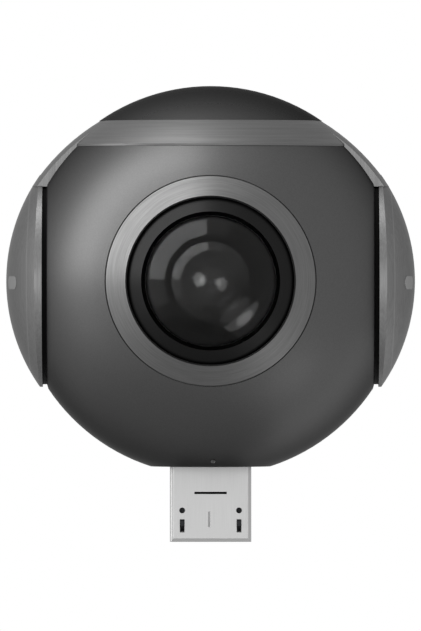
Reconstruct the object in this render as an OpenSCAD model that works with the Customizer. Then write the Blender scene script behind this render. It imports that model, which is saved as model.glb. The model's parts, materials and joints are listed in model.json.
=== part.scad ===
// Ball-shaped camera with a wide lens on the front and on the rear and a plug underneath.
// Millimetres, +Z up, origin at the centre of the flat base, front lens towards -Y.

/* [Ball] */
// Radius of the ball
ball_r = 16.4; // [15:0.1:18]
// Height of the slice that the flat base takes off the ball
base_cut = 0.8; // [0.7:0.1:1.5]
// Thickness of the round wall
wall = 2; // [1.8:0.1:2.4]
// Depth of each side flat below the ball's surface
flat_cut = 2.65; // [2.4:0.05:3]
// Thickness of the wall behind a side flat
side_wall = 1.25; // [1.1:0.05:1.6]
// Bevel of the edge round a side flat
flat_bevel = 0.18; // [0.1:0.02:0.24]
// Thickness of the floor above the base
floor_t = 2.6; // [2.4:0.1:3]
// Thickness of the deck under the collar
deck_t = 1.3; // [1:0.1:1.6]
// Width of the seal between the two halves
seal_w = 0.45; // [0.3:0.05:0.6]
// Thickness of that seal
seal_t = 0.6; // [0.4:0.1:1]

/* [Side covers] */
// How far a cover stands out beyond the ball
cover_proud = 0.8; // [0.4:0.05:1.4]
// Thickness of the cover's edge at its top and bottom
cover_end_t = 0.24; // [0.2:0.02:0.5]
// Thickness of the cover's edge at its front and rear
cover_side_t = 0.64; // [0.4:0.02:1]
// How far the cover's edge stands back from the edge of the side flat
cover_inset = 0.02; // [0:0.01:0.3]
// Thickness of the gasket under the cover
gasket_t = 0.37; // [0.25:0.01:0.5]
// How far the gasket's edge stands back from the cover's edge
gasket_inset = 0.22; // [0.1:0.02:0.6]
// Width of the gasket's ring
gasket_w = 2.2; // [1.5:0.1:4]
// Half width of the strap that runs up from the disc
strap_half_w = 4; // [3.4:0.1:4.4]
// How far the strap's lower end laps over the disc
strap_lap = 1; // [0.98:0.02:1.4]
// How much larger the radius of the strap's outline is than the ball's
strap_swell = 1.55; // [1.3:0.05:1.9]
// How far the centre of that outline lies below the ball's centre
strap_drop = 1.9; // [1.7:0.05:2.1]
// Radius of the strap's crown from front to rear
strap_crown_r = 21; // [18:1:40]
// Depth of the strap's seat below the ball's surface
strap_seat = 0.9; // [0.6:0.1:1]

/* [Collar and cap] */
// Height of the top cap above the collar
cap_rise = 2.95; // [2.6:0.05:3.4]
// Thickness of the top cap at its middle
cap_t = 1.8; // [1.2:0.1:2.2]
// Depth of the cap's spigot in the collar
cap_spigot_depth = 1.5; // [1:0.1:1.8]
// Wall of that spigot
cap_spigot_wall = 0.6; // [0.4:0.1:1]
// Height of the collar
collar_w = 2.15; // [1.9:0.05:2.4]
// How far the collar stands proud of the ball
collar_proud = 0.14; // [0.05:0.01:0.25]
// How far the collar's upright lower rim stands proud of the ball
collar_rim = 0.03; // [0.02:0.01:0.1]
// Radius of the collar's bore
collar_bore_r = 6.75; // [6.2:0.05:6.9]

/* [Lenses] */
// Width of the lens ring's face
ring_w = 1.75; // [1.5:0.05:2]
// Height of the lens ring's outer edge above its seat
ring_depth = 1; // [0.9:0.1:1.2]
// Slope of the lens ring's face
ring_slope = 35; // [30:1:38]
// How far the lens ring stands proud of the ball
ring_proud = 0.04; // [0:0.01:0.1]
// Bevel on the lens ring's inner edge
ring_bevel = 0.22; // [0.1:0.02:0.3]
// Groove round the lens ring
ring_gap = 0.1; // [0.06:0.02:0.3]
// Wall of the lens barrel round the dome lens
barrel_wall = 0.47; // [0.4:0.01:0.8]
// Wall of the barrel's threaded tail
tail_wall = 1.1; // [0.9:0.05:1.3]
// Length of that tail
tail_len = 3.2; // [3:0.1:3.4]
// Radius of the dome lens where it leaves its retainer
dome_r = 5.4; // [5:0.05:6]
// How far the dome lens bulges above that edge
dome_bulge = 2.6; // [2.3:0.05:3.2]
// Thickness of the dome lens at its middle
dome_t = 1.2; // [1:0.1:1.4]
// Radius of the dome lens's hollow rear face
dome_hollow_r = 4.5; // [4:0.1:4.8]
// Radius of the hole in the light baffle
baffle_hole_r = 2.7; // [2.5:0.1:3.2]
// Radius of the bead round that hole
bead_r = 0.2; // [0.1:0.05:0.3]
// Radius of the relay lens and of the aperture stop
relay_r = 3; // [2.9:0.05:3.1]
// Radius of the hole in the aperture stop
stop_hole_r = 1.3; // [0.8:0.1:2]
// Width of the lens holder's square base
holder_w = 10.4; // [10.3:0.1:11]

/* [Main board] */
// Thickness of the main board
board_t = 0.8; // [0.6:0.1:0.9]
// Height of the posts that hold the main board, above and below the ball's centre
post_z = 6; // [5:0.1:6.3]
// Width of the processor
processor_w = 8; // [6:0.5:9]
// Thickness of the chips
chip_t = 1; // [0.7:0.1:1]
// Thickness of the thermal pad
pad_t = 0.5; // [0.3:0.1:0.5]
// Thickness of the heat spreader
spreader_t = 0.5; // [0.3:0.1:0.5]
// Wall of the shield can
can_wall = 0.2; // [0.15:0.05:0.3]

/* [Plug] */
// Width of the plug
plug_w = 6.85; // [6.6:0.05:7.2]
// Thickness of the plug
plug_t = 1.8; // [1.7:0.05:2.2]
// Length of the plug below the base
plug_len = 6.35; // [6:0.05:7]
// Sheet thickness of the plug's shell
plug_wall = 0.25; // [0.2:0.01:0.28]
// Corner radius of the plug's front edges
plug_corner_r = 0.35; // [0.3:0.01:0.45]
// Bevel of the plug's rear edges
plug_bevel = 0.7; // [0.6:0.05:0.8]
// Distance of each latch from the plug's middle
latch_x = 2.39; // [2.36:0.01:2.45]
// How far a latch hook stands out of the plug
hook_proud = 0.25; // [0.1:0.05:0.3]
// Height of a latch slot
slot_h = 1.1; // [1:0.05:1.3]
// Width of a latch slot
slot_w = 0.4; // [0.38:0.01:0.5]
// Distance of the latch slots below the base
slot_below = 5; // [4.8:0.05:5.2]
// Radius of the round holes
hole_r = 0.245; // [0.2:0.005:0.3]
// Distance of the round holes below the base
hole_below = 3.7; // [3.5:0.05:3.9]
// Width of the slit
slit_w = 2.72; // [2:0.02:3]
// Height of the slit
slit_h = 0.2; // [0.15:0.01:0.3]
// Distance of the slit below the base
slit_below = 2.23; // [2:0.01:2.5]
// Radius of the base plate
plate_r = 4.6; // [4.3:0.05:4.7]
// Thickness of the base plate
plate_t = 1; // [0.8:0.1:1.2]

/* [Light] */
// Distance of the light pipe from the plug's middle
pipe_x = 0.2; // [-1:0.1:1]
// Height of the light pipe's end above the base
pipe_rise = 0.54; // [0.4:0.02:0.8]
// Radius of the light pipe
pipe_r = 0.16; // [0.12:0.01:0.25]

/* [Hidden] */
$fn = 72;
// Finer facets where a large round face meets others
fine = 180;
// Clearance of a slip fit and of a screw in its hole
fit = 0.03;
screw_fit = 0.1;
// Room between pieces that only have to stay apart
gap = 0.1;
// Depth that a blind screw hole leaves closed
blind_end = 0.3;
// Overrun of a cut past the face that it opens, and a size larger than the whole ball
past = 1;
beyond = 2 * ball_r;

centre_h = ball_r - base_cut;
side_flat = ball_r - flat_cut;
flat_r = sqrt(pow(ball_r, 2) - pow(side_flat, 2));
collar_high = ball_r - cap_rise;
collar_low = collar_high - collar_w;
cavity_r = ball_r - wall;
cavity_half_w = side_flat - side_wall;
cavity_low = -centre_h + floor_t;
cavity_top = collar_low - deck_t;

cover_disc_r = flat_r - cover_inset;
cover_under = side_flat + gasket_t;
cover_reach = ball_r + cover_proud;
cover_r = arc_r(cover_disc_r, cover_reach - cover_under - cover_end_t);
cover_crown_r = arc_r(cover_disc_r, cover_reach - cover_under - cover_side_t);
gasket_r = cover_disc_r - gasket_inset;
strap_r = ball_r + strap_swell;
strap_floor_r = ball_r - strap_seat;
strap_low = cover_disc_r - strap_lap;

collar_r = ball_r + collar_proud;
collar_rim_r = sqrt(pow(ball_r, 2) - pow(collar_low, 2)) + collar_rim;
collar_top_r = sqrt(pow(collar_r, 2) - pow(collar_high, 2));
// Distance of the collar screws from the centre line, and their angle from the Y axis
collar_screw_rho = (collar_bore_r + collar_top_r) / 2;
collar_screw_turn = 42;
screw_r = 0.6;
screw_head_r = 0.95;
screw_head_t = 0.6;
screw_len = 3;
screw_seat = collar_high - screw_head_t - screw_fit;
screw_hole_low = screw_seat - screw_len - screw_fit;
screw_boss_r = 1.2;
screw_boss_low = screw_hole_low - blind_end;
// Cross in the head of a collar screw
cross_len = 1.1;
cross_w = 0.25;

// Heights along a lens are measured outwards from the ball's centre, radii outwards from the dome lens
dome_flange_w = 0.4;
dome_flange_r = dome_r + dome_flange_w;
barrel_r = dome_flange_r + fit + barrel_wall;
retainer_skirt_t = 0.52;
retainer_skirt_h = 1.05;
retainer_r = barrel_r + fit + retainer_skirt_t;
retainer_gap = 0.12;
ring_in_r = retainer_r + retainer_gap;
ring_out_r = ring_in_r + ring_w;
ring_seat = sqrt(pow(ball_r, 2) - pow(ring_out_r, 2)) - ring_depth;
ring_outer_h = sqrt(pow(ball_r + ring_proud, 2) - pow(ring_out_r, 2));
ring_inner_h = ring_outer_h + ring_w * tan(ring_slope);
flange_w = 1.1;
flange_r = barrel_r + flange_w;
flange_t = 0.6;
lens_boss_w = 0.8;
lens_boss_r = flange_r + lens_boss_w;
lens_boss_t = 1.5;

// The sensor board stands just clear of the heat spreader, and the lens holder stands on it
board_face = board_t / 2;
spreader_gap = 0.19;
sensor_board_t = 0.6;
sensor_board_low = board_face + chip_t + pad_t + spreader_t + spreader_gap;
holder_roof = 0.5;
holder_cavity = 1.5;
holder_wall = 0.9;
holder_tube_wall = 1;
holder_low = sensor_board_low + sensor_board_t;
barrel_low = holder_low + holder_cavity + holder_roof + 2 * gap;
barrel_len = ring_seat - barrel_low;
barrel_rise = 1.7;
barrel_front = ring_seat + barrel_rise;
tail_free = 0.4;
tail_cone = 1.2;
holder_top = barrel_low + tail_len - tail_free;

dome_flange_t = 0.77;
dome_land = 0.8;
dome_rise = 1.1;
dome_seat = ring_seat + dome_rise;
dome_flange = dome_seat + dome_flange_t;
dome_edge = dome_flange + dome_land;
dome_ball_r = arc_r(dome_r, dome_bulge);
dome_apex = dome_edge + dome_bulge;
lens_seal_t = 0.3;
lens_seal_low = dome_seat - lens_seal_t;
retainer_bore_r = dome_flange_r + 2 * fit;
retainer_lip_r = dome_r + 2 * fit;
retainer_tip_w = 0.38;
retainer_tip_h = 0.05;
retainer_tip_r = dome_r + retainer_tip_w;
retainer_tip = dome_edge + retainer_tip_h;
retainer_drop = 0.1;
retainer_edge = ring_inner_h - ring_bevel - retainer_drop;

// The inner elements divide the barrel's length between them
field_t = 0.32 * barrel_len;
relay_t = 0.21 * barrel_len;
second_t = 0.27 * barrel_len;
stop_ledge = 0.15;
field_r = relay_r - stop_ledge;
field_face_r = 6;
field_lip_w = 0.45;
field_lip_t = 0.8;
field_lip_r = field_r - field_lip_w;
field_seat = barrel_low + field_lip_t;
stop_t = 0.2;
stop_seat = field_seat + field_t + 2 * gap;
relay_front_r = 4.5;
second_step = 0.8;
second_r = dome_r - second_step;
second_low = stop_seat + stop_t + relay_t + 3 * gap;
second_front_r = 8;
second_hollow_r = 3.3;
second_mid_t = 0.6;
tail_r = field_r + tail_wall;

filter_t = 0.3;
filter_w = 6.6;
sensor_w = 7.2;
sensor_h = 6.2;
sensor_t = 0.9;
ear_r = 1.3;
ear_out = 0.9;
ear_x = holder_w / 2 + ear_out;
ear_t = 2;
sensor_board_w = 2 * (ear_x + ear_r + gap);
sensor_board_h = holder_w + 6 * gap;
holder_screw_r = 0.45;
holder_screw_head_r = 0.8;
holder_screw_head_t = 0.4;
flex_w = 4.6;
flex_t = 0.12;
flex_drop = 1.6;
flex_y = -sensor_board_h / 2 - flex_drop;
flex_lap = 0.5;
connector_w = 5.4;
connector_d = 1.6;
connector_t = 0.9;

plug_up = 1;
plug_top = cavity_low + plug_up;
plug_tip = -centre_h - plug_len;
plug_in_y = plug_t / 2 - plug_wall;
least_corner_r = 0.05;
carrier_side = 1.07;
carrier_face = 1.3;
carrier_w = plug_w + 2 * carrier_side;
carrier_d = plug_t + 2 * carrier_face;
carrier_top = plug_top - 2 * gap;
carrier_lip = 0.4;
carrier_lip_t = 0.5;
// A shallow seam in the plug's folded front
seam_x = -0.1;
seam_w = 0.24;
seam_d = 0.07;
seam_h = 1.3;
seam_below = 4.45;
// Depth and height of the bevel at the plug's mouth
mouth_d = 0.1;
mouth_h = 0.3;

board_room = 0.7;
board_r = cavity_r - board_room;
board_half_w = cavity_half_w - board_room;
board_top = cavity_top - board_room;
board_lift = 0.4;
board_bottom = plug_top + board_lift;
post_in = 0.8;
post_x = board_half_w - post_in;
post_r = 0.9;
// The chips sit this far above the ball's centre on both faces of the main board
chip_y = 1.5;
pad_edge = 0.5;
pad_w = processor_w - 2 * pad_edge;
spreader_edge = 0.7;
spreader_w = processor_w + 2 * spreader_edge;
memory_w = 6;
memory_h = 5;
memory_x = -2.4;
power_w = 4;
power_x = 3.4;
can_w = 12.4;
can_d = 9.4;
can_h = chip_t + can_wall + 4 * gap;
capacitor_size = [1, 0.5, 0.5];
capacitor_in = 0.9;
capacitor_y = board_top - capacitor_in;
capacitor_pitch = 1.6;
capacitor_count = 6;
contact_count = 5;
contact_pitch = 0.65;
contact_w = 0.38;
contact_t = 0.12;
contact_y = 0.02;
contact_jog = plug_top + gap;
contact_lap = 0.9;
contact_tail = board_bottom + contact_lap;
latch_room = 0.32;
insulator_half_w = latch_x - latch_room;
insulator_back = 0.45;
insulator_tip = plug_tip + insulator_back;
contact_back = 0.3;
contact_tip = insulator_tip + contact_back;
light_size = [0.9, 0.7, 0.5];
light_y = contact_tail + light_size[1] / 2 + gap;
latch_w = 0.34;
latch_t = 0.2;
latch_y = -0.15;
latch_root_h = 1.2;
latch_root_r = 0.22;
latch_pivot = -centre_h + latch_root_h;
hook_w = slot_w - gap;
hook_low = -centre_h - slot_below - slot_h / 2 + gap;
hook_high = -centre_h - slot_below + slot_h / 2 - gap;
insulator_drop = 0.4;
insulator_low = -centre_h - slit_below - slit_h / 2 - insulator_drop;

// The light pipe runs straight from the status light to a round tip on the ball's surface
pipe_tip_w = 0.04;
pipe_tip_r = pipe_r + pipe_tip_w;
pipe_start = [pipe_x, -board_face - light_size[2] - gap, light_y];
pipe_end_z = -centre_h + pipe_rise;
pipe_end = [pipe_x, -sqrt(pow(ball_r, 2) - pow(pipe_end_z, 2) - pow(pipe_x, 2)), pipe_end_z];
pipe_len = norm(pipe_end - pipe_start);
pipe_turn = atan2(pipe_start[1] - pipe_end[1], pipe_end[2] - pipe_start[2]);

front_turn = 0;
rear_turn = 180;

// Radius of the arc that rises by a height over half a chord
function arc_r(half_chord, rise) = (pow(half_chord, 2) + pow(rise, 2)) / (2 * rise);

// Everything is drawn round the ball's centre and lifted to the base by this
module at_centre() translate([0, 0, centre_h]) children();

// A lens is drawn along +Z and turned to look towards -Y or, by half a turn, towards +Y
module lens_place(turn) at_centre() lens_turn(turn) children();
module lens_turn(turn) rotate([0, 0, turn]) rotate([90, 0, 0]) children();

// A box centred in X and Y that stands on a height
module plate(w, d, low, t) translate([-w / 2, -d / 2, low]) cube([w, d, t]);

// A disc or ring that stands on a height
module disc(r, low, t) translate([0, 0, low]) cylinder(r = r, h = t);
module ring(r, bore, low, t) difference() {
    disc(r, low, t);
    disc(bore, low - past, t + 2 * past);
}

// The ball with its two side flats and their bevelled edges, turned about X
module ball_blank() {
    bevel_from = flat_r - flat_bevel;
    bevel_to = side_flat - (beyond - bevel_from) * tan(acos(side_flat / ball_r) / 2);
    rotate([0, 90, 0]) rotate_extrude() intersection() {
        circle(ball_r);
        polygon([
            [0, -side_flat], [bevel_from, -side_flat], [beyond, -bevel_to],
            [beyond, bevel_to], [bevel_from, side_flat], [0, side_flat]
        ]);
    }
}

// What the two halves keep standing inside the cavity
module inner_supports() {
    for (turn = [front_turn, rear_turn]) lens_turn(turn) {
        disc(lens_boss_r, ring_seat - lens_boss_t, ball_r);
        for (x = [-post_x, post_x], z = [-post_z, post_z])
            translate([x, z, board_face]) cylinder(r = post_r, h = ball_r);
    }
    collar_screw_places() disc(screw_boss_r, screw_boss_low, ball_r);
}

module cavity() {
    intersection() {
        sphere(cavity_r);
        plate(2 * cavity_half_w, beyond, cavity_low, cavity_top - cavity_low);
    }
}

// The seat of the two straps, cut out of the halves and of the collar
module strap_seats(clear) {
    difference() {
        plate(beyond, 2 * (strap_half_w + clear), strap_low - clear, ball_r);
        sphere(strap_floor_r);
    }
}

module collar_screw_places() {
    for (x = [-1, 1], y = [-1, 1])
        translate([x * sin(collar_screw_turn), y * cos(collar_screw_turn), 0] * collar_screw_rho) children();
}

// A strip along both sides of the joint between the halves
module seal_strips() {
    seal_in = (wall - strap_seat - seal_w) / 2;
    low = cavity_low + floor_t / 2;
    top = cavity_top + deck_t / 2;
    rotate([90, 0, 0]) linear_extrude(seal_t, center = true) intersection() {
        difference() {
            seal_outline(seal_in + seal_w);
            seal_outline(seal_in);
        }
        translate([-ball_r, low]) square([2 * ball_r, top - low]);
    }
}
module seal_outline(out) intersection() {
    circle(cavity_r + out);
    square([2 * (cavity_half_w + out), beyond], center = true);
}

// The light pipe, or with a clearance the hole that it passes through
module light_pipe_form(clear) {
    translate(pipe_start) rotate([pipe_turn, 0, 0]) cylinder(r = pipe_r + clear, h = pipe_len);
    translate(pipe_end) sphere(pipe_tip_r + clear);
}

module carrier_block(clear) {
    low = -centre_h + plate_t;
    plate(carrier_w + 2 * clear, carrier_d + 2 * clear, low, carrier_top - low);
}

// The half towards -Y; the other half is the same piece turned round
module shell_half() {
    difference() {
        intersection() {
            ball_blank();
            translate([-ball_r, -ball_r, -centre_h])
                cube([2 * ball_r, ball_r, centre_h + collar_low]);
        }
        difference() {
            cavity();
            inner_supports();
        }
        lens_turn(front_turn) {
            disc(barrel_r + 2 * screw_fit, 0, ball_r + past);
            disc(ring_out_r + ring_gap, ring_seat, ball_r);
        }
        strap_seats(fit);
        disc(plate_r + fit, -centre_h - past, plate_t + past);
        carrier_block(fit);
        seal_strips();
        collar_screw_places() disc(screw_r - screw_fit, screw_hole_low, ball_r);
    }
}

module front_shell() color("#4b4c4e") at_centre() difference() {
    shell_half();
    light_pipe_form(fit);
}

module rear_shell() color("#4b4c4e") at_centre() rotate([0, 0, rear_turn]) shell_half();

// A barrel-shaped solid turned about a line along Y: outline radius r, crown radius across it
module crowned(r, crown_r) {
    rotate([90, 0, 0]) rotate_extrude() intersection() {
        translate([r - crown_r, 0]) circle(crown_r, $fn = fine);
        translate([0, -ball_r]) square([2 * r, 2 * ball_r]);
    }
}

// The cover on the +X side: a domed disc and the strap that runs up from it
module side_cover() {
    intersection() {
        translate([cover_reach - cover_r, 0, 0]) crowned(cover_r, cover_crown_r);
        translate([cover_under, 0, 0]) rotate([0, 90, 0]) cylinder(r = cover_disc_r, h = ball_r);
    }
    difference() {
        intersection() {
            translate([0, 0, -strap_drop]) crowned(strap_r, strap_crown_r);
            translate([0, -strap_half_w, strap_low])
                cube([beyond, 2 * strap_half_w, collar_high - strap_low]);
        }
        sphere(strap_floor_r);
    }
}

module right_side_cover() color("#5a5b5d") at_centre() side_cover();
module left_side_cover() color("#5a5b5d") at_centre() rotate([0, 0, 180]) side_cover();

module cover_gaskets() color("#101010") at_centre() difference() {
    for (side = [0, 180]) rotate([0, 0, side]) rotate([0, 90, 0])
        ring(gasket_r, gasket_r - gasket_w, side_flat, gasket_t);
    strap_seats(fit);
}

module collar_ring() color("#77787a") at_centre() difference() {
    rotate_extrude() intersection() {
        circle(collar_r);
        translate([collar_bore_r, collar_low]) square([collar_rim_r - collar_bore_r, collar_w]);
    }
    strap_seats(fit);
    collar_screw_places() {
        disc(screw_r + screw_fit, 0, ball_r);
        disc(screw_head_r + screw_fit, screw_seat, ball_r);
    }
}

module collar_screws() color("silver") at_centre() collar_screw_places() difference() {
    union() {
        disc(screw_head_r, screw_seat, screw_head_t);
        disc(screw_r - screw_fit, screw_seat - screw_len, screw_len);
    }
    for (turn = [0, 90]) rotate([0, 0, turn])
        plate(cross_len, cross_w, screw_seat + screw_head_t / 2, screw_head_t);
}

module top_cap() color("#2c2d2f") at_centre() {
    bore_r = collar_bore_r - fit - cap_spigot_wall;
    difference() {
        union() {
            intersection() {
                sphere(ball_r, $fn = fine);
                disc(ball_r, collar_high, ball_r);
            }
            disc(collar_bore_r - fit, collar_high - cap_spigot_depth, cap_spigot_depth + fit);
        }
        disc(bore_r, 0, ball_r - cap_t);
    }
}

module shell_seals() color("#151515") at_centre() seal_strips();

// The plug's section: round corners in front, bevelled corners behind
module plug_outline(inset) {
    w = plug_w - 2 * inset;
    t = plug_t - 2 * inset;
    r = max(plug_corner_r - inset, least_corner_r);
    corner = plug_w / 2 + plug_t / 2 - plug_bevel - inset * sqrt(2);
    difference() {
        union() {
            square([w - 2 * r, t], center = true);
            square([w, t - 2 * r], center = true);
            for (x = [-1, 1], y = [-1, 1])
                translate([x * (w / 2 - r), y * (t / 2 - r)]) circle(r, $fn = 24);
        }
        for (side = [0, 1]) mirror([side, 0])
            polygon([[corner - t, t], [corner + t, -t], [corner + t, t]]);
    }
}

module base_plate() color("#48494b") at_centre() difference() {
    disc(plate_r, -centre_h, plate_t);
    translate([0, 0, -centre_h - past]) linear_extrude(plate_t + 2 * past) plug_outline(-fit);
}

module plug_carrier() color("#202022") at_centre() difference() {
    union() {
        carrier_block(0);
        plate(carrier_w + 2 * carrier_lip, carrier_d + 2 * carrier_lip, cavity_low, carrier_lip_t);
    }
    translate([0, 0, -centre_h]) linear_extrude(centre_h) plug_outline(0);
}

module plug_shell() color("#c9cacc") at_centre() difference() {
    translate([0, 0, plug_tip]) linear_extrude(plug_top - plug_tip) difference() {
        plug_outline(0);
        plug_outline(plug_wall);
    }
    for (x = [-latch_x, latch_x]) {
        translate([x, 0, -centre_h - hole_below]) rotate([90, 0, 0]) cylinder(r = hole_r, h = plug_t);
        front_cut(x, slot_below, slot_w, slot_h);
    }
    front_cut(0, slit_below, slit_w, slit_h);
    translate([seam_x, -plug_t / 2, -centre_h - seam_below - seam_h / 2]) linear_extrude(seam_h)
        polygon([[-seam_w, -seam_d], [seam_w, -seam_d], [0, seam_d]]);
    for (turn = [front_turn, rear_turn]) rotate([0, 0, turn]) mouth_bevel();
}

// What is cut off the plug's mouth along its front
module mouth_bevel() translate([-plug_w, -plug_t / 2, plug_tip]) rotate([90, 0, 90])
    linear_extrude(2 * plug_w)
        polygon([[2 * mouth_d, -mouth_h], [-mouth_d, 2 * mouth_h], [-mouth_d, -mouth_h]]);

// A cut through the plug's front wall
module front_cut(x, below, w, h) {
    translate([x - w / 2, -plug_t, -centre_h - below - h / 2]) cube([w, plug_t, h]);
}

// One strip with its tail bent onto the main board, standing at a distance from the middle
module contact_strip(x) translate([x - contact_w / 2, 0, 0]) {
    tail_y = -board_face - contact_t;
    translate([0, contact_y - contact_t, contact_tip])
        cube([contact_w, contact_t, contact_jog - contact_tip + contact_t]);
    translate([0, tail_y, contact_jog]) cube([contact_w, contact_y - tail_y, contact_t]);
    translate([0, tail_y, contact_jog]) cube([contact_w, contact_t, contact_tail - contact_jog]);
}
module contact_strips() {
    for (i = [0 : contact_count - 1]) contact_strip((i - (contact_count - 1) / 2) * contact_pitch);
}

module plug_contacts() color("gold") at_centre() contact_strips();

module plug_insulator() color("#1c1c1e") at_centre() difference() {
    union() {
        translate([-insulator_half_w, contact_y, insulator_tip])
            cube([2 * insulator_half_w, plug_in_y - contact_y - fit, plug_top - insulator_tip]);
        plate(2 * insulator_half_w, 2 * (plug_in_y - fit), insulator_low, plug_top - insulator_low);
    }
    contact_strips();
}

// A sprung strip with a round root at its pivot and a hook that stands out of the slot
module latch(side) translate([side * latch_x, latch_y, 0]) {
    hook_y = -plug_t / 2 - hook_proud - latch_y;
    hook_mid = (hook_low + hook_high) / 2;
    plate(latch_w, latch_t, hook_low, latch_pivot - hook_low);
    translate([-latch_w / 2, 0, latch_pivot]) rotate([0, 90, 0]) cylinder(r = latch_root_r, h = latch_w);
    translate([-hook_w / 2, 0, 0]) rotate([90, 0, 90]) linear_extrude(hook_w) polygon([
        [0, hook_high], [hook_y, hook_high], [hook_y, hook_mid], [hook_y / 2, hook_low], [0, hook_low]
    ]);
}

module left_latch() color("silver") at_centre() latch(-1);
module right_latch() color("silver") at_centre() latch(1);

module main_board() color("#1d4f33") at_centre() {
    rotate([90, 0, 0]) linear_extrude(board_t, center = true) intersection() {
        circle(board_r);
        translate([-board_half_w, board_bottom]) square([2 * board_half_w, board_top - board_bottom]);
    }
}

module processor_chip() color("#232326") lens_place(front_turn)
    translate([0, chip_y, 0]) plate(processor_w, processor_w, board_face, chip_t);

module thermal_pad() color("#8fa3b5") lens_place(front_turn)
    translate([0, chip_y, 0]) plate(pad_w, pad_w, board_face + chip_t, pad_t);

module heat_spreader() color("#b9bcc0") lens_place(front_turn)
    translate([0, chip_y, 0]) plate(spreader_w, spreader_w, board_face + chip_t + pad_t, spreader_t);

module memory_chip() color("#232326") lens_place(rear_turn)
    translate([memory_x, chip_y, 0]) plate(memory_w, memory_h, board_face, chip_t);

module power_chip() color("#232326") lens_place(rear_turn)
    translate([power_x, chip_y, 0]) plate(power_w, power_w, board_face, chip_t);

module shield_can() color("#c2c4c6") lens_place(rear_turn) translate([0, chip_y, 0]) difference() {
    plate(can_w, can_d, board_face, can_h);
    plate(can_w - 2 * can_wall, can_d - 2 * can_wall, board_face - past, can_h - can_wall + past);
}

module board_capacitors() color("#b08d57") lens_place(front_turn) {
    for (i = [0 : capacitor_count - 1])
        translate([(i - (capacitor_count - 1) / 2) * capacitor_pitch, capacitor_y, 0])
            plate(capacitor_size[0], capacitor_size[1], board_face, capacitor_size[2]);
}

module status_light() color("#f4f0dc") lens_place(front_turn)
    translate([pipe_x, light_y, 0]) plate(light_size[0], light_size[1], board_face, light_size[2]);

module light_pipe() color("#e8ecef") at_centre() light_pipe_form(0);

module flex_connectors() color("#3a3a3c") {
    for (turn = [front_turn, rear_turn]) lens_place(turn)
        translate([0, flex_y, 0]) plate(connector_w, connector_d, board_face, connector_t);
}

module holder_screw_places() for (x = [-ear_x, ear_x]) translate([x, 0, 0]) children();

module holder_screws() color("silver") {
    for (turn = [front_turn, rear_turn]) lens_place(turn) holder_screw_places() {
        disc(holder_screw_head_r, sensor_board_low - holder_screw_head_t, holder_screw_head_t);
        disc(holder_screw_r, sensor_board_low, sensor_board_t + ear_t - blind_end);
    }
}

module lens_ring_form() color("#8b8c8e") {
    rotate_extrude() difference() {
        polygon([
            [ring_in_r, ring_seat], [ring_out_r, ring_seat],
            [ring_out_r, ring_outer_h], [ring_in_r, ring_inner_h]
        ]);
        translate([0, ring_seat - past]) square([flange_r + fit, flange_t + fit + past]);
        polygon([
            [ring_in_r - past, ring_inner_h + past], [ring_in_r - past, ring_inner_h - ring_bevel - past],
            [ring_in_r, ring_inner_h - ring_bevel], [ring_in_r + ring_bevel, ring_inner_h],
            [ring_in_r + ring_bevel, ring_inner_h + past]
        ]);
    }
}

module lens_retainer_form() color("#141415") {
    skirt_low = barrel_front - retainer_skirt_h;
    rotate_extrude() polygon([
        [barrel_r + fit, skirt_low], [retainer_r, skirt_low], [retainer_r, retainer_edge],
        [retainer_tip_r, retainer_tip], [retainer_lip_r, dome_flange + fit],
        [retainer_bore_r, dome_flange + fit], [retainer_bore_r, barrel_front + fit],
        [barrel_r + fit, barrel_front + fit]
    ]);
}

module dome_lens_form() color("#20242a", 0.6) difference() {
    union() {
        disc(dome_flange_r, dome_seat, dome_flange_t);
        intersection() {
            translate([0, 0, dome_apex - dome_ball_r]) sphere(dome_ball_r);
            disc(dome_r, dome_seat, ball_r);
        }
    }
    translate([0, 0, dome_apex - dome_t - dome_hollow_r]) sphere(dome_hollow_r);
}

module lens_seal_form() color("#151515")
    ring(dome_flange_r + fit / 2, second_r + 3 * gap, lens_seal_low, lens_seal_t);

module lens_barrel_form() color("#18181a") rotate_extrude() polygon([
    [field_lip_r, barrel_low], [tail_r, barrel_low], [tail_r, barrel_low + tail_len],
    [barrel_r, barrel_low + tail_len + tail_cone], [barrel_r, ring_seat], [flange_r, ring_seat],
    [flange_r, ring_seat + flange_t], [barrel_r, ring_seat + flange_t], [barrel_r, barrel_front],
    [dome_flange_r + fit, barrel_front], [dome_flange_r + fit, lens_seal_low],
    [second_r + fit, lens_seal_low], [second_r + fit, second_low], [relay_r + fit, second_low],
    [relay_r + fit, stop_seat], [field_r + fit, stop_seat], [field_r + fit, field_seat],
    [field_lip_r, field_seat]
]);

// The baffle stands on the second lens's round face at the edge of its bore, with a bead on its rim
module light_baffle_form() color("#0e0e0f") {
    bore_r = baffle_hole_r + bead_r;
    drop = second_front_r - sqrt(pow(second_front_r, 2) - pow(bore_r, 2));
    low = second_low + second_t - drop + fit;
    rotate_extrude() {
        translate([bore_r, low]) square([second_r - bore_r, lens_seal_low - low]);
        translate([bore_r, lens_seal_low]) circle(bead_r, $fn = 24);
    }
}

module second_lens_form() color("#2a3038", 0.6) difference() {
    intersection() {
        disc(second_r, second_low, second_t);
        translate([0, 0, second_low + second_t - second_front_r]) sphere(second_front_r);
    }
    translate([0, 0, second_low + second_t - second_mid_t - second_hollow_r]) sphere(second_hollow_r);
}

module aperture_stop_form() color("#0a0a0a") ring(relay_r, stop_hole_r, stop_seat, stop_t);

module relay_lens_form() color("#2a3038", 0.6) intersection() {
    disc(relay_r, stop_seat + stop_t, relay_t);
    translate([0, 0, stop_seat + stop_t + relay_t - relay_front_r]) sphere(relay_front_r);
}

module field_lens_form() color("#2a3038", 0.6) intersection() {
    disc(field_r, field_seat, field_t);
    translate([0, 0, field_seat + field_t - field_face_r]) sphere(field_face_r);
}

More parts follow.
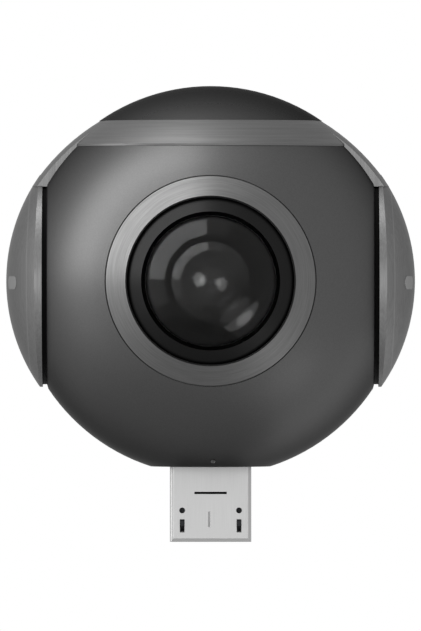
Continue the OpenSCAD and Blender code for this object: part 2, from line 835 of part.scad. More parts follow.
module infrared_filter_form() color("#7d98a0", 0.6)
    plate(filter_w, filter_w, holder_low + holder_cavity - filter_t, filter_t);

module lens_holder_form() color("#1b1b1d") difference() {
    union() {
        plate(holder_w, holder_w, holder_low, holder_cavity + holder_roof);
        disc(tail_r + holder_tube_wall, holder_low, holder_top - holder_low);
        holder_screw_places() disc(ear_r, holder_low, ear_t);
    }
    plate(holder_w - 2 * holder_wall, holder_w - 2 * holder_wall, holder_low - past, holder_cavity + past);
    disc(field_lip_r, holder_low, ball_r);
    disc(tail_r + fit, barrel_low - fit, ball_r);
    holder_screw_places() disc(holder_screw_r, holder_low - past, ear_t + past - blind_end);
}

module image_sensor_form() color("#39404a") plate(sensor_w, sensor_h, holder_low, sensor_t);

module sensor_board_form() color("#1d4f33") difference() {
    plate(sensor_board_w, sensor_board_h, sensor_board_low, sensor_board_t);
    holder_screw_places() disc(holder_screw_r, sensor_board_low - past, sensor_board_t + 2 * past);
}

module sensor_flex_form() color("#b5742a") {
    lap_y = -sensor_board_h / 2 + flex_lap;
    low = board_face + connector_t;
    translate([-flex_w / 2, flex_y, sensor_board_low - flex_t]) cube([flex_w, lap_y - flex_y, flex_t]);
    translate([-flex_w / 2, flex_y, low]) cube([flex_w, flex_t, sensor_board_low - low]);
}

module front_lens_ring() lens_place(front_turn) lens_ring_form();
module front_lens_retainer() lens_place(front_turn) lens_retainer_form();
module front_dome_lens() lens_place(front_turn) dome_lens_form();
module front_lens_seal() lens_place(front_turn) lens_seal_form();
module front_lens_barrel() lens_place(front_turn) lens_barrel_form();
module front_light_baffle() lens_place(front_turn) light_baffle_form();
module front_second_lens() lens_place(front_turn) second_lens_form();
module front_relay_lens() lens_place(front_turn) relay_lens_form();
module front_aperture_stop() lens_place(front_turn) aperture_stop_form();
module front_field_lens() lens_place(front_turn) field_lens_form();
module front_infrared_filter() lens_place(front_turn) infrared_filter_form();
module front_lens_holder() lens_place(front_turn) lens_holder_form();
module front_image_sensor() lens_place(front_turn) image_sensor_form();
module front_sensor_board() lens_place(front_turn) sensor_board_form();
module front_sensor_flex() lens_place(front_turn) sensor_flex_form();
module rear_lens_ring() lens_place(rear_turn) lens_ring_form();
module rear_lens_retainer() lens_place(rear_turn) lens_retainer_form();
module rear_dome_lens() lens_place(rear_turn) dome_lens_form();
module rear_lens_seal() lens_place(rear_turn) lens_seal_form();
module rear_lens_barrel() lens_place(rear_turn) lens_barrel_form();
module rear_light_baffle() lens_place(rear_turn) light_baffle_form();
module rear_second_lens() lens_place(rear_turn) second_lens_form();
module rear_relay_lens() lens_place(rear_turn) relay_lens_form();
module rear_aperture_stop() lens_place(rear_turn) aperture_stop_form();
module rear_field_lens() lens_place(rear_turn) field_lens_form();
module rear_infrared_filter() lens_place(rear_turn) infrared_filter_form();
module rear_lens_holder() lens_place(rear_turn) lens_holder_form();
module rear_image_sensor() lens_place(rear_turn) image_sensor_form();
module rear_sensor_board() lens_place(rear_turn) sensor_board_form();
module rear_sensor_flex() lens_place(rear_turn) sensor_flex_form();

front_shell();
rear_shell();
left_side_cover();
right_side_cover();
cover_gaskets();
collar_ring();
collar_screws();
top_cap();
shell_seals();
base_plate();
plug_carrier();
plug_shell();
plug_insulator();
plug_contacts();
left_latch();
right_latch();
main_board();
processor_chip();
thermal_pad();
heat_spreader();
memory_chip();
power_chip();
shield_can();
board_capacitors();
status_light();
light_pipe();
flex_connectors();
holder_screws();
front_lens_ring();
front_lens_retainer();
front_dome_lens();
front_lens_seal();
front_lens_barrel();
front_light_baffle();
front_second_lens();
front_relay_lens();
front_aperture_stop();
front_field_lens();
front_infrared_filter();
front_lens_holder();
front_image_sensor();
front_sensor_board();
front_sensor_flex();
rear_lens_ring();
rear_lens_retainer();
rear_dome_lens();
rear_lens_seal();
rear_lens_barrel();
rear_light_baffle();
rear_second_lens();
rear_relay_lens();
rear_aperture_stop();
rear_field_lens();
rear_infrared_filter();
rear_lens_holder();
rear_image_sensor();
rear_sensor_board();
rear_sensor_flex();
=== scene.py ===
import json
import math

import bmesh
import bpy
from mathutils import Matrix, Vector

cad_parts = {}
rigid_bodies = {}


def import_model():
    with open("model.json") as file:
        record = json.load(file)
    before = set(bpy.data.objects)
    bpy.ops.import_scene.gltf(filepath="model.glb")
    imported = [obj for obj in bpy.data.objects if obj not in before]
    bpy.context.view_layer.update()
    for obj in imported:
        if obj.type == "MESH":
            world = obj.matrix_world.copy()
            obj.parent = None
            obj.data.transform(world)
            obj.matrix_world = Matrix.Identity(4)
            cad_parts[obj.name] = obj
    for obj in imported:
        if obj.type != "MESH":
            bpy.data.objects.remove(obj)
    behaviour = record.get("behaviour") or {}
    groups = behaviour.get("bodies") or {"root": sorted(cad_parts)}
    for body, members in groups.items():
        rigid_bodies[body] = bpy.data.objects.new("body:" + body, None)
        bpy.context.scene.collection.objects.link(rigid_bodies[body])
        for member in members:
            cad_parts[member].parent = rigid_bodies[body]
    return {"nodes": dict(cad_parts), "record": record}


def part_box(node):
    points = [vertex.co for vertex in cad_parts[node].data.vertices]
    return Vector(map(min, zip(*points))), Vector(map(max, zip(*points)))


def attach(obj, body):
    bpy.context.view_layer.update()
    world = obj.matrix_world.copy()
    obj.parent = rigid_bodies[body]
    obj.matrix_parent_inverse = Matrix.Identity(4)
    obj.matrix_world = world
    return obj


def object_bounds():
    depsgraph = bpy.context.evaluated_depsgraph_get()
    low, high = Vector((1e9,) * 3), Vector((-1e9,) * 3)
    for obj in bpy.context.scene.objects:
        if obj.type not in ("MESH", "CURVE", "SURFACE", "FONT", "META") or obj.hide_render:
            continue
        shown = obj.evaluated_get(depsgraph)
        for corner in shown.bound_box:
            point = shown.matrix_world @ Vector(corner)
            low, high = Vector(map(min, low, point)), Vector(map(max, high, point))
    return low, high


for leftover in list(bpy.data.objects):  # an empty file to start from
    bpy.data.objects.remove(leftover)

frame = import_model()
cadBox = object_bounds()
nodes = frame["nodes"]
mm = 0.001

# The front lens ring gives the height of the ball's centre, and its radius sets the run of its brushing
ringLow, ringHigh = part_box("front_lens_ring")
ballCentre = Vector((0, 0, (ringLow.z + ringHigh.z) / 2))
ringRadius = (ringHigh.x - ringLow.x) / 2
print("frame loaded, ball centre at", round(ballCentre.z / mm, 2), "mm")


def linear(hexColour):
    parts = [int(hexColour[i:i + 2], 16) / 255 for i in (1, 3, 5)]
    return [c / 12.92 if c <= 0.04045 else ((c + 0.055) / 1.055) ** 2.4 for c in parts] + [1]


def add(tree, kind, settings=None, links=None):
    node = tree.nodes.new("ShaderNode" + kind)
    for name, value in (settings or {}).items():
        if isinstance(name, str) and hasattr(node, name):
            setattr(node, name, value)
        else:
            node.inputs[name].default_value = value
    for name, source in (links or {}).items():
        tree.links.new(source, node.inputs[name])
    return node


def newMaterial(name, surface):
    material = bpy.data.materials.new(name)
    material.use_nodes = True
    tree = material.node_tree
    tree.nodes.clear()
    shader = add(tree, "BsdfPrincipled", surface)
    add(tree, "OutputMaterial", links={"Surface": shader.outputs[0]})
    return material, tree, shader


def fromCentre(tree):
    # position in metres, measured from the ball's centre
    place = add(tree, "TexCoord").outputs["Object"]
    return add(tree, "VectorMath", {"operation": "SUBTRACT", 1: ballCentre}, {0: place}).outputs[0]


acrossLens = (1, 0, 1)  # the directions across the lens axis
acrossCover = (0, 1, 1)  # and those across the axis of the side covers


def fromAxis(tree, across):
    # position with its part along the axis taken out, and how far that is from the axis
    flat = add(tree, "VectorMath", {"operation": "MULTIPLY", 1: across}, {0: fromCentre(tree)}).outputs[0]
    return flat, add(tree, "VectorMath", {"operation": "LENGTH"}, {0: flat}).outputs["Value"]


def perMm(size):
    return 1 / (size * mm)


# Camera of the photograph, level with the ball's centre and square to the front
photoCamera = {
    "width": 421,
    "height": 631,
    "pxPerMm": 11.883,  # from the plug's standard width
    "ballPx": (210.6, 280.9),
    "distance": 1.2,
    "sensor": 36,
    "farthest": 20,
}


def setCamera(spec):
    data = bpy.data.cameras.new("photoCamera")
    data.sensor_fit = "VERTICAL"
    data.sensor_height = spec["sensor"]
    data.lens = spec["sensor"] * spec["distance"] / (spec["height"] / spec["pxPerMm"] * mm)
    data.shift_x = (spec["width"] / 2 - spec["ballPx"][0]) / spec["height"]
    data.shift_y = (spec["ballPx"][1] - spec["height"] / 2) / spec["height"]
    data.clip_end = spec["farthest"]
    camera = bpy.data.objects.new("photoCamera", data)
    bpy.context.scene.collection.objects.link(camera)
    camera.location = ballCentre + Vector((0, -spec["distance"], 0))
    camera.rotation_euler = (math.pi / 2, 0, 0)
    bpy.context.scene.camera = camera


setCamera(photoCamera)
bpy.context.scene.view_settings.view_transform = "Standard"
print("camera set")


# Studio: white surroundings, a small pale floor, an arc of softboxes at the upper left, a small one at the
# lower right, a wide one behind for the rim and two lamps in front
studio = {
    "white": "#ffffff",
    "diffuseLevel": 0.35,  # how much of the white lights the object
    "floorColour": "#c8c8c8",
    "floorRoughness": 0.9,
    "floorSides": 96,
    "floorDrop": 60 * mm,  # below the plug's tip
    "floorRadius": 68 * mm,
    "floorLeft": 30 * mm,  # the sheet lies a little to the left
    "reach": 0.6,  # from the lens axis to a softbox
    "softboxes": [  # degrees round the lens axis from the right, degrees away from it, radiance
        {"name": "arcStart", "from": 70, "to": 94, "near": 66, "far": 94, "radiance": 0.5},
        {"name": "arcRight", "from": 94, "to": 122, "near": 66, "far": 94, "radiance": 5.2},
        {"name": "arcMiddle", "from": 122, "to": 150, "near": 66, "far": 94, "radiance": 5.2},
        {"name": "arcLeft", "from": 150, "to": 178, "near": 66, "far": 94, "radiance": 5.2},
        {"name": "arcEnd", "from": 178, "to": 206, "near": 66, "far": 94, "radiance": 0.9},
        {"name": "fillRight", "from": 301, "to": 325, "near": 68, "far": 85, "radiance": 1.0,
         "shape": "ELLIPSE"},
        {"name": "glowOuter", "from": 284, "to": 336, "near": 64, "far": 83, "radiance": 2.3,
         "shape": "ELLIPSE", "lensOnly": True},  # the glows stand in for light between the lens's own faces
        {"name": "glowCore", "from": 301, "to": 324, "near": 65, "far": 81, "radiance": 4.2,
         "shape": "ELLIPSE", "lensOnly": True},
        {"name": "glowInner", "from": 284, "to": 336, "near": 46, "far": 66, "radiance": 1.2,
         "shape": "ELLIPSE", "lensOnly": True},
        {"name": "rimRight", "from": 262, "to": 340, "near": 108, "far": 150, "radiance": 0.8},
    ],
    "frontDistance": 1.4,
    "frontLamps": [  # degrees aside, degrees up, radiance
        {"name": "frontLeft", "aside": -16, "low": -8, "high": 12, "halfWidth": 7, "radiance": 6.2},
        {"name": "frontRight", "aside": 15, "low": -13, "high": 5, "halfWidth": 7, "radiance": 3.5},
    ],
}


def setWorld(spec):
    world = bpy.data.worlds.new("studio")
    bpy.context.scene.world = world
    world.use_nodes = True
    tree = world.node_tree
    tree.nodes.clear()
    ray = add(tree, "LightPath")
    mirror = add(tree, "Math", {"operation": "MAXIMUM"},
                 {0: ray.outputs["Is Camera Ray"], 1: ray.outputs["Is Glossy Ray"]})
    seen = add(tree, "Math", {"operation": "MAXIMUM"},
               {0: mirror.outputs[0], 1: ray.outputs["Is Transmission Ray"]})
    level = add(tree, "MapRange", {"To Min": spec["diffuseLevel"], "To Max": 1.0}, {"Value": seen.outputs[0]})
    glow = add(tree, "Background", {"Color": linear(spec["white"])}, {"Strength": level.outputs[0]})
    add(tree, "OutputWorld", links={"Surface": glow.outputs[0]})


def setFloor(spec):
    sides, radius = spec["floorSides"], spec["floorRadius"]
    z = cadBox[0].z - spec["floorDrop"]
    turns = [2 * math.pi * i / sides for i in range(sides)]
    points = [(radius * math.cos(t) - spec["floorLeft"], radius * math.sin(t), z) for t in turns]
    mesh = bpy.data.meshes.new("studioFloor")
    mesh.from_pydata(points, [], [range(sides)])
    floor = bpy.data.objects.new("studioFloor", mesh)
    bpy.context.scene.collection.objects.link(floor)
    surface = {"Base Color": linear(spec["floorColour"]), "Roughness": spec["floorRoughness"]}
    mesh.materials.append(newMaterial("paper, matte pale", surface)[0])


def softbox(name, shape, centre, outward, along, width, height, radiance):
    # outward points from the object to the lamp, along is the direction of its height
    data = bpy.data.lights.new(name, "AREA")
    data.shape = shape
    data.size = width
    data.size_y = height
    data.energy = radiance * math.pi * width * height * (math.pi / 4 if shape == "ELLIPSE" else 1)
    lamp = bpy.data.objects.new(name, data)
    bpy.context.scene.collection.objects.link(lamp)
    across = along.cross(outward).normalized()
    turn = Matrix((across, along, outward)).transposed().to_4x4()
    lamp.matrix_world = Matrix.Translation(centre) @ turn
    return lamp


def setLamps(spec):
    domes = bpy.data.collections.new("domes")  # the lensOnly lamps light these alone
    for end in ("front", "rear"):
        domes.objects.link(nodes[end + "_dome_lens"])
    reach = spec["reach"]
    for box in spec["softboxes"]:
        near, far = (-reach / math.tan(math.radians(box[end])) for end in ("near", "far"))
        turn = math.radians((box["from"] + box["to"]) / 2)
        outward = Vector((math.cos(turn), 0, math.sin(turn)))
        centre = ballCentre + reach * outward + Vector((0, (near + far) / 2, 0))
        width = 2 * reach * math.tan(math.radians(box["to"] - box["from"]) / 2)
        shape = box.get("shape", "RECTANGLE")
        lamp = softbox(box["name"], shape, centre, outward, Vector((0, 1, 0)),
                       width, far - near, box["radiance"])
        if box.get("lensOnly"):
            lamp.light_linking.receiver_collection = domes
    away = spec["frontDistance"]
    for box in spec["frontLamps"]:
        low, high, side = (away * math.tan(math.radians(box[end])) for end in ("low", "high", "halfWidth"))
        turn = math.radians(box["aside"])
        outward = Vector((math.sin(turn), -math.cos(turn), 0))
        centre = ballCentre + away * outward + Vector((0, 0, (low + high) / 2))
        softbox(box["name"], "ELLIPSE", centre, outward, Vector((0, 0, 1)),
                2 * side, high - low, box["radiance"])


setWorld(studio)
setFloor(studio)
setLamps(studio)
print("studio lit")


# What a fine pattern does to a surface: it shades the colour, varies the gloss and stands in relief
reliefDepth = 0.02 * mm
crisp = (0.3, 0.7)  # noise between these two levels runs from the dark to the light shade
even = (0, 1)


def workInto(tree, shader, pattern, colour, shade, levels, gloss=None, relief=None):
    # gloss is a roughness and how far the pattern takes it either way
    tone = add(tree, "ValToRGB", links={"Fac": pattern})
    dark, light = tone.color_ramp.elements
    dark.position, light.position = levels
    dark.color = [c * (1 - shade) for c in linear(colour)[:3]] + [1]
    light.color = [c * (1 + shade) for c in linear(colour)[:3]] + [1]
    tree.links.new(tone.outputs[0], shader.inputs["Base Color"])
    if gloss:
        roughness, spread = gloss
        varied = add(tree, "MapRange", {"To Min": roughness - spread, "To Max": roughness + spread},
                     {"Value": pattern})
        tree.links.new(varied.outputs[0], shader.inputs["Roughness"])
    if relief:
        raised = add(tree, "Bump", {"Strength": relief, "Distance": reliefDepth}, {"Height": pattern})
        tree.links.new(raised.outputs[0], shader.inputs["Normal"])
    return tone.outputs[0]


# Satin metallic paint on moulded ABS: dark, even, with a fine flake and no visible grain
painted = {
    "shell": {"colour": "#505050", "edge": "#969696", "roughness": 0.4},  # a darker edge turns the rim black
    "cap": {"colour": "#4b4b4b", "edge": "#585858", "roughness": 0.45},
    "flakeMm": 0.12,  # real flake is finer, drawn coarse enough to show
    "flakeShade": 0.08,
    "peel": 0.03,
}


def satinMetallicPaint(name, spec):
    material, tree, shader = newMaterial(name, {
        "Metallic": 1.0, "Roughness": spec["roughness"], "Specular Tint": linear(spec["edge"])})
    flake = add(tree, "TexNoise", {"Scale": perMm(painted["flakeMm"]), "Detail": 3.0, "Roughness": 0.6},
                {"Vector": fromCentre(tree)}).outputs["Fac"]
    workInto(tree, shader, flake, spec["colour"], painted["flakeShade"], crisp, relief=painted["peel"])
    return material


# Aluminium, brushed and anodised grey: fine parallel lines that catch the light along them,
# drawn coarser than real brushing so that they show
brushed = {
    "cover": {"colour": "#737373", "edge": "#a8a8a8", "roughness": 0.42,
              "lineMm": 0.12, "runMm": 9, "shade": 0.14},
    "collar": {"colour": "#606060", "edge": "#d6d6d6", "roughness": 0.45,
               "lineMm": 0.1, "runMm": 9, "shade": 0.12},
    "ring": {"colour": "#616161", "edge": "#a8a8a8", "roughness": 0.38,
             "lineMm": 0.09, "runMm": 3.5, "shade": 0.14},
    "glossSpread": -0.06,  # the paler lines are the smoother ones
    "groove": 0.06,
    "turnedLineMm": 7.7,  # radius of a fine line turned into each side cover
    "turnedWidthMm": 0.09,
    "turnedShade": 1.4,
}


def brushedAluminium(name, spec, lineVector):
    material, tree, shader = newMaterial("aluminium, " + name, {
        "Metallic": 1.0, "Specular Tint": linear(spec["edge"])})
    lines = add(tree, "TexNoise", {"Scale": 1.0, "Detail": 4.0, "Roughness": 0.65},
                {"Vector": lineVector(tree, spec)}).outputs["Fac"]
    gloss = spec["roughness"], brushed["glossSpread"]
    tone = workInto(tree, shader, lines, spec["colour"], spec["shade"], crisp, gloss, brushed["groove"])
    return material, tree, shader, tone


def uprightLines(tree, spec):
    fine, run = perMm(spec["lineMm"]), perMm(spec["runMm"])
    factors = (fine, fine, run)
    return add(tree, "VectorMath", {"operation": "MULTIPLY", 1: factors}, {0: fromCentre(tree)}).outputs[0]


def levelLines(tree, spec):
    fine, run = perMm(spec["lineMm"]), perMm(spec["runMm"])
    factors = (run, run, fine)
    return add(tree, "VectorMath", {"operation": "MULTIPLY", 1: factors}, {0: fromCentre(tree)}).outputs[0]


def circularLines(tree, spec):
    # fine steps outwards from the lens axis, long steps round it
    flat, outwards = fromAxis(tree, acrossLens)
    heading = add(tree, "VectorMath", {"operation": "NORMALIZE"}, {0: flat})
    pace = ringRadius * perMm(spec["runMm"])
    runs = add(tree, "VectorMath", {"operation": "MULTIPLY", 1: (pace, pace, pace)}, {0: heading.outputs[0]})
    steps = add(tree, "Math", {"operation": "MULTIPLY", 1: perMm(spec["lineMm"])}, {0: outwards})
    up = add(tree, "CombineXYZ", links={"Y": steps.outputs[0]})
    return add(tree, "VectorMath", {"operation": "ADD"}, {0: runs.outputs[0], 1: up.outputs[0]}).outputs[0]


def coverAluminium(name, spec):
    # the brushed sheet of the side covers, with the turned line in a paler tone
    material, tree, shader, tone = brushedAluminium(name, spec, uprightLines)
    outwards = fromAxis(tree, acrossCover)[1]
    off = add(tree, "Math", {"operation": "SUBTRACT", 1: brushed["turnedLineMm"] * mm}, {0: outwards})
    away = add(tree, "Math", {"operation": "ABSOLUTE"}, {0: off.outputs[0]})
    line = add(tree, "MapRange", {"From Min": 0.0, "From Max": brushed["turnedWidthMm"] * mm,
                                  "To Min": 1.0, "To Max": 0.0}, {"Value": away.outputs[0]})
    pale = [c * brushed["turnedShade"] for c in linear(spec["colour"])[:3]] + [1]
    # sockets 6 and 7 of a colour mix are its two colours
    mixed = add(tree, "Mix", {"data_type": "RGBA", 7: pale}, {0: line.outputs[0], 6: tone})
    tree.links.new(mixed.outputs[2], shader.inputs["Base Color"])
    return material


# Moulded plastics, rubber, film and board lacquer: little gloss, an even grain drawn coarse enough to show
moulded = {
    "retainer": {"colour": "#050505", "roughness": 0.32, "grainMm": 0.2, "gloss": 0.15},
    "inner": {"colour": "#040404", "roughness": 0.5, "grainMm": 0.2, "gloss": 0.06},
    "gasket": {"colour": "#050505", "roughness": 0.75, "grainMm": 0.15, "gloss": 0.06},
    "chip": {"colour": "#1b1b1d", "roughness": 0.55, "grainMm": 0.1, "gloss": 0.4},
    "pad": {"colour": "#8fa0b2", "roughness": 0.8, "grainMm": 0.25, "gloss": 0.3},
    "flex": {"colour": "#b06f22", "roughness": 0.35, "grainMm": 0.4, "gloss": 0.5},
    "board": {"colour": "#1d5a37", "roughness": 0.3, "grainMm": 0.6, "gloss": 0.5},
    "acrylic": {"colour": "#4a4a4a", "roughness": 0.35, "grainMm": 0.3, "gloss": 0.3},
    "grainShade": 0.15,
    "glossSpread": 0.05,
    "pitting": 0.08,
    "plasticIor": 1.5,
}


def mouldedPlastic(name, spec):
    material, tree, shader = newMaterial(name, {
        "Specular IOR Level": spec["gloss"], "IOR": moulded["plasticIor"]})
    grain = add(tree, "TexNoise", {"Scale": perMm(spec["grainMm"]), "Detail": 3.0},
                {"Vector": fromCentre(tree)}).outputs["Fac"]
    gloss = spec["roughness"], moulded["glossSpread"]
    workInto(tree, shader, grain, spec["colour"], moulded["grainShade"], even, gloss, moulded["pitting"])
    return material


# Nickel-plated, tinned and gilt sheet, and latch steel darkened as painted shade: a soft metal shine with
# faint rolling lines, coarser than real ones so that they show
sheet = {
    "plug": {"colour": "#a2a2a2", "roughness": 0.42, "lineMm": 0.06, "runMm": 3, "shade": 0.05},
    # painted shade: the latch leaves are bare steel, drawn dark for the shadow they lie in behind the plug's
    # holes
    "latch": {"colour": "#28292a", "roughness": 0.45, "lineMm": 0.06, "runMm": 2, "shade": 0.1},
    "steel": {"colour": "#b9babc", "roughness": 0.35, "lineMm": 0.08, "runMm": 3, "shade": 0.1},
    "spreader": {"colour": "#c6c8ca", "roughness": 0.4, "lineMm": 0.1, "runMm": 4, "shade": 0.1},
    "inlay": {"colour": "#969696", "edge": "#9c9c9c", "roughness": 0.42,
              "lineMm": 0.06, "runMm": 3, "shade": 0.05},
    "gilt": {"colour": "#d8ae55", "roughness": 0.25, "lineMm": 0.05, "runMm": 1, "shade": 0.08},
    "sensor": {"colour": "#4a5160", "roughness": 0.12, "lineMm": 0.05, "runMm": 2, "shade": 0.1},
    "plainEdge": "#ffffff",
    "glossSpread": -0.05,
}


def rolledSheet(name, spec):
    material, tree, shader = newMaterial(name, {
        "Metallic": 1.0, "Specular Tint": linear(spec.get("edge", sheet["plainEdge"]))})
    lines = add(tree, "TexNoise", {"Scale": 1.0, "Detail": 3.0},
                {"Vector": uprightLines(tree, spec)}).outputs["Fac"]
    gloss = spec["roughness"], sheet["glossSpread"]
    workInto(tree, shader, lines, spec["colour"], spec["shade"], even, gloss)
    return material


# Optical glass, coated: dark and smoky, with soft reflections that lie in the coating
glass = {
    # the lens's lowest hollow coating is painted shade: the hollow's reflection falls to it towards the lower
    # right
    "lens": {"colour": "#a0a0a0", "coatIor": 1.8, "frontCoat": 0.15, "hollowCoat": 0.42, "paintedShadeCoat": 0.06,
             "flangeCoat": 0.2},
    "inner": {"colour": "#f2f2f2", "coatIor": 1.36},
    "filter": {"colour": "#b9dfe4", "coatIor": 1.2},
    "coatRoughness": 0.05,
    "bend": 1.04,  # less than real glass, so that the black mounts show as they do behind the coating
    "filmMm": 0.6,
    "hazeFrom": 0.28,  # at so slight a bend it blurs hardly anything, and keeps the picture free of grain
    "hazeTo": 0.32,
    "domeRadiusMm": 6.91,
    "hollowRadiusMm": 4.6,
    "edgeMm": 0.1,  # width over which one coating fades into the next
    "paintedShadeMm": (0.8, 2.6),  # painted shade: the hollow's coating is turned down between these distances, to the lower right, to darken its reflection there
    "seatMm": (0.025, 0.05),  # the coating ends this far above the ground seat
}


def coatedGlass(name, spec):
    material, tree, shader = newMaterial(name, {
        "Base Color": linear(spec["colour"]), "Transmission Weight": 1.0, "IOR": glass["bend"],
        "Coat Weight": 1.0, "Coat IOR": spec["coatIor"], "Coat Roughness": glass["coatRoughness"]})
    film = add(tree, "TexNoise", {"Scale": perMm(glass["filmMm"]), "Detail": 2.0},
               {"Vector": fromCentre(tree)}).outputs["Fac"]
    haze = add(tree, "MapRange", {"To Min": glass["hazeFrom"], "To Max": glass["hazeTo"]}, {"Value": film})
    tree.links.new(haze.outputs[0], shader.inputs["Roughness"])
    return material, tree, shader


def domeGlass(name, spec):
    # the front, the hollow and the flange shine each by its own amount, the ground seat not at all; the
    # hollow's shine fades to the lower right as painted shade
    material, tree, shader = coatedGlass(name, spec)
    soft, rim, radius = (glass[size] * mm for size in ("edgeMm", "hollowRadiusMm", "domeRadiusMm"))
    low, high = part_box("front_dome_lens")
    seat, apex = -high.y, -low.y
    place = fromCentre(tree)
    parts = add(tree, "SeparateXYZ", links={"Vector": place})
    depth = add(tree, "Math", {"operation": "ABSOLUTE"}, {0: parts.outputs["Y"]}).outputs[0]
    aside = fromAxis(tree, acrossLens)[1]
    # painted shade: the hollow's coating fades towards the lower right, so that its reflection is darker
    # there
    lowerRight = Vector((1, 0, -1)).normalized()
    lean = add(tree, "VectorMath", {"operation": "DOT_PRODUCT", 1: lowerRight}, {0: place})
    shadeStart, shadeEnd = (distance * mm for distance in glass["paintedShadeMm"])
    shadedHollow = add(tree, "MapRange", {"From Min": shadeStart, "From Max": shadeEnd,
                                  "To Min": spec["hollowCoat"], "To Max": spec["paintedShadeCoat"]},
               {"Value": lean.outputs["Value"]})
    hollow = add(tree, "MapRange", {"From Min": rim, "From Max": rim + soft, "To Max": spec["flangeCoat"]},
                 {"Value": aside, "To Min": shadedHollow.outputs[0]})
    below = add(tree, "Math", {"operation": "SUBTRACT", 1: apex - radius}, {0: depth})
    spot = add(tree, "CombineXYZ",
               links={"X": parts.outputs["X"], "Y": below.outputs[0], "Z": parts.outputs["Z"]})
    outwards = add(tree, "VectorMath", {"operation": "LENGTH"}, {0: spot.outputs[0]})
    front = add(tree, "MapRange", {"From Min": radius - 2 * soft, "From Max": radius - soft,
                                   "To Max": spec["frontCoat"]},
                {"Value": outwards.outputs["Value"], "To Min": hollow.outputs[0]})
    coatStart, coatFull = (seat + height * mm for height in glass["seatMm"])
    ground = add(tree, "MapRange", {"From Min": coatStart, "From Max": coatFull}, {"Value": depth})
    weight = add(tree, "Math", {"operation": "MULTIPLY"}, {0: ground.outputs[0], 1: front.outputs[0]})
    tree.links.new(weight.outputs[0], shader.inputs["Coat Weight"])
    return material


finishes = {
    "shell_paint": satinMetallicPaint("ABS, satin metallic paint", painted["shell"]),
    "cover_aluminium": coverAluminium("brushed upright, grey anodised", brushed["cover"]),
    "collar_aluminium": brushedAluminium("brushed round, grey anodised", brushed["collar"], levelLines)[0],
    "ring_aluminium": brushedAluminium("turned and brushed, grey anodised", brushed["ring"],
                                       circularLines)[0],
    "cap_plastic": satinMetallicPaint("ABS, dark satin paint", painted["cap"]),
    "retainer_plastic": mouldedPlastic("polycarbonate, moulded satin black", moulded["retainer"]),
    "black_plastic": mouldedPlastic("polycarbonate, moulded dull black", moulded["inner"]),
    "gasket_rubber": mouldedPlastic("silicone rubber, moulded", moulded["gasket"]),
    "chip_resin": mouldedPlastic("epoxy resin, moulded", moulded["chip"]),
    "pad_silicone": mouldedPlastic("silicone, filled sheet", moulded["pad"]),
    "flex_film": mouldedPlastic("polyimide film", moulded["flex"]),
    "board_laminate": mouldedPlastic("glass laminate, green lacquer", moulded["board"]),
    "light_acrylic": mouldedPlastic("acrylic, frosted", moulded["acrylic"]),
    "plug_steel": rolledSheet("steel sheet, nickel plated", sheet["plug"]),
    # painted shade: the latch steel is drawn dark because the latches sit in shadow
    "latch_steel": rolledSheet("spring steel, darkened as painted shade", sheet["latch"]),
    "steel_sheet": rolledSheet("steel sheet, tinned", sheet["steel"]),
    "screw_steel": rolledSheet("steel, plated", sheet["steel"]),
    "bare_aluminium": rolledSheet("aluminium, rolled", sheet["spreader"]),
    "contact_gold": rolledSheet("copper strip, gilt", sheet["gilt"]),
    "sensor_glass": rolledSheet("silicon under cover glass", sheet["sensor"]),
    "lens_glass": domeGlass("optical glass, coated", glass["lens"]),
    "filter_glass": coatedGlass("filter glass, coated", glass["filter"])[0],
}
innerGlass = coatedGlass("optical glass, coated, inner", glass["inner"])[0]
innerKinds = ("_second_lens", "_relay_lens", "_field_lens")
innerLenses = [end + kind for end in ("front", "rear") for kind in innerKinds]
for part in frame["record"]["subparts"]:
    mesh = nodes[part["node"]].data
    mesh.materials.clear()
    mesh.materials.append(innerGlass if part["node"] in innerLenses else finishes[part["material_slot"]])


# Plain pale inlays in the side covers, short dashes level with the lens
inlay = {
    "middle": 4.25 * mm,  # from the cover's own middle, towards the front and towards the rear
    "halfLength": 1.35 * mm,
    "halfHeight": 0.55 * mm,
    "proud": 0.03 * mm,
    "drop": 0.15 * mm,
    "outside": 40 * mm,  # from here the outline is cast onto the cover
    "endRound": 0.96,  # just under 1, so that the last column keeps some height
    "columns": 24,
    "rows": 4,
}
inlayAluminium = rolledSheet("aluminium, rolled, pale inlay", sheet["inlay"])


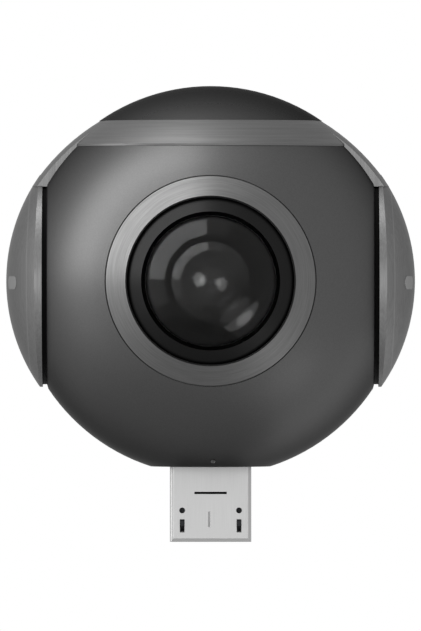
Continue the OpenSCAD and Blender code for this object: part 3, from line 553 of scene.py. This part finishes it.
def castOnCover(cover, side, end, spec):
    # columns of points on the cover's face, each with the face's normal
    place = cover.matrix_world
    toCover = place.inverted()
    aim = toCover.to_3x3() @ Vector((-side, 0, 0))
    start = Vector((side * spec["outside"], end * spec["middle"], ballCentre.z - spec["drop"]))
    grid = []
    for i in range(spec["columns"] + 1):
        along = (2 * i / spec["columns"] - 1) * spec["halfLength"]
        pastFlat = max(0, abs(along) - spec["halfLength"] + spec["halfHeight"]) * spec["endRound"]
        height = math.sqrt(spec["halfHeight"] ** 2 - pastFlat ** 2)
        column = []
        for j in range(spec["rows"] + 1):
            origin = start + Vector((0, along, (2 * j / spec["rows"] - 1) * height))
            spot, normal = cover.ray_cast(toCover @ origin, aim)[1:3]
            column.append((place @ spot, (place.to_3x3() @ normal).normalized()))
        grid.append(column)
    return grid


def addInlay(side, end, spec):
    sideName = "left" if side < 0 else "right"
    endName = "front" if end < 0 else "rear"
    grid = castOnCover(nodes[sideName + "_side_cover"], side, end, spec)
    shape = bmesh.new()
    top = [[shape.verts.new(spot + normal * spec["proud"]) for spot, normal in column] for column in grid]
    low = [[shape.verts.new(spot - normal * spec["proud"]) for spot, normal in column] for column in grid]
    columns, rows = spec["columns"], spec["rows"]
    for i in range(columns):
        for j in range(rows):
            shape.faces.new((top[i][j], top[i + 1][j], top[i + 1][j + 1], top[i][j + 1]))
            shape.faces.new((low[i][j], low[i][j + 1], low[i + 1][j + 1], low[i + 1][j]))
        for j in (0, rows):
            shape.faces.new((top[i][j], low[i][j], low[i + 1][j], top[i + 1][j]))
    for j in range(rows):
        for i in (0, columns):
            shape.faces.new((top[i][j], top[i][j + 1], low[i][j + 1], low[i][j]))
    bmesh.ops.recalc_face_normals(shape, faces=shape.faces)
    mesh = bpy.data.meshes.new("coverInlay")
    shape.to_mesh(mesh)
    shape.free()
    mesh.materials.append(inlayAluminium)
    piece = bpy.data.objects.new(sideName + "_" + endName + "_inlay", mesh)
    bpy.context.scene.collection.objects.link(piece)
    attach(piece, "camera")


for side in (-1, 1):
    for end in (-1, 1):
        addInlay(side, end, inlay)
print("cover inlays laid")
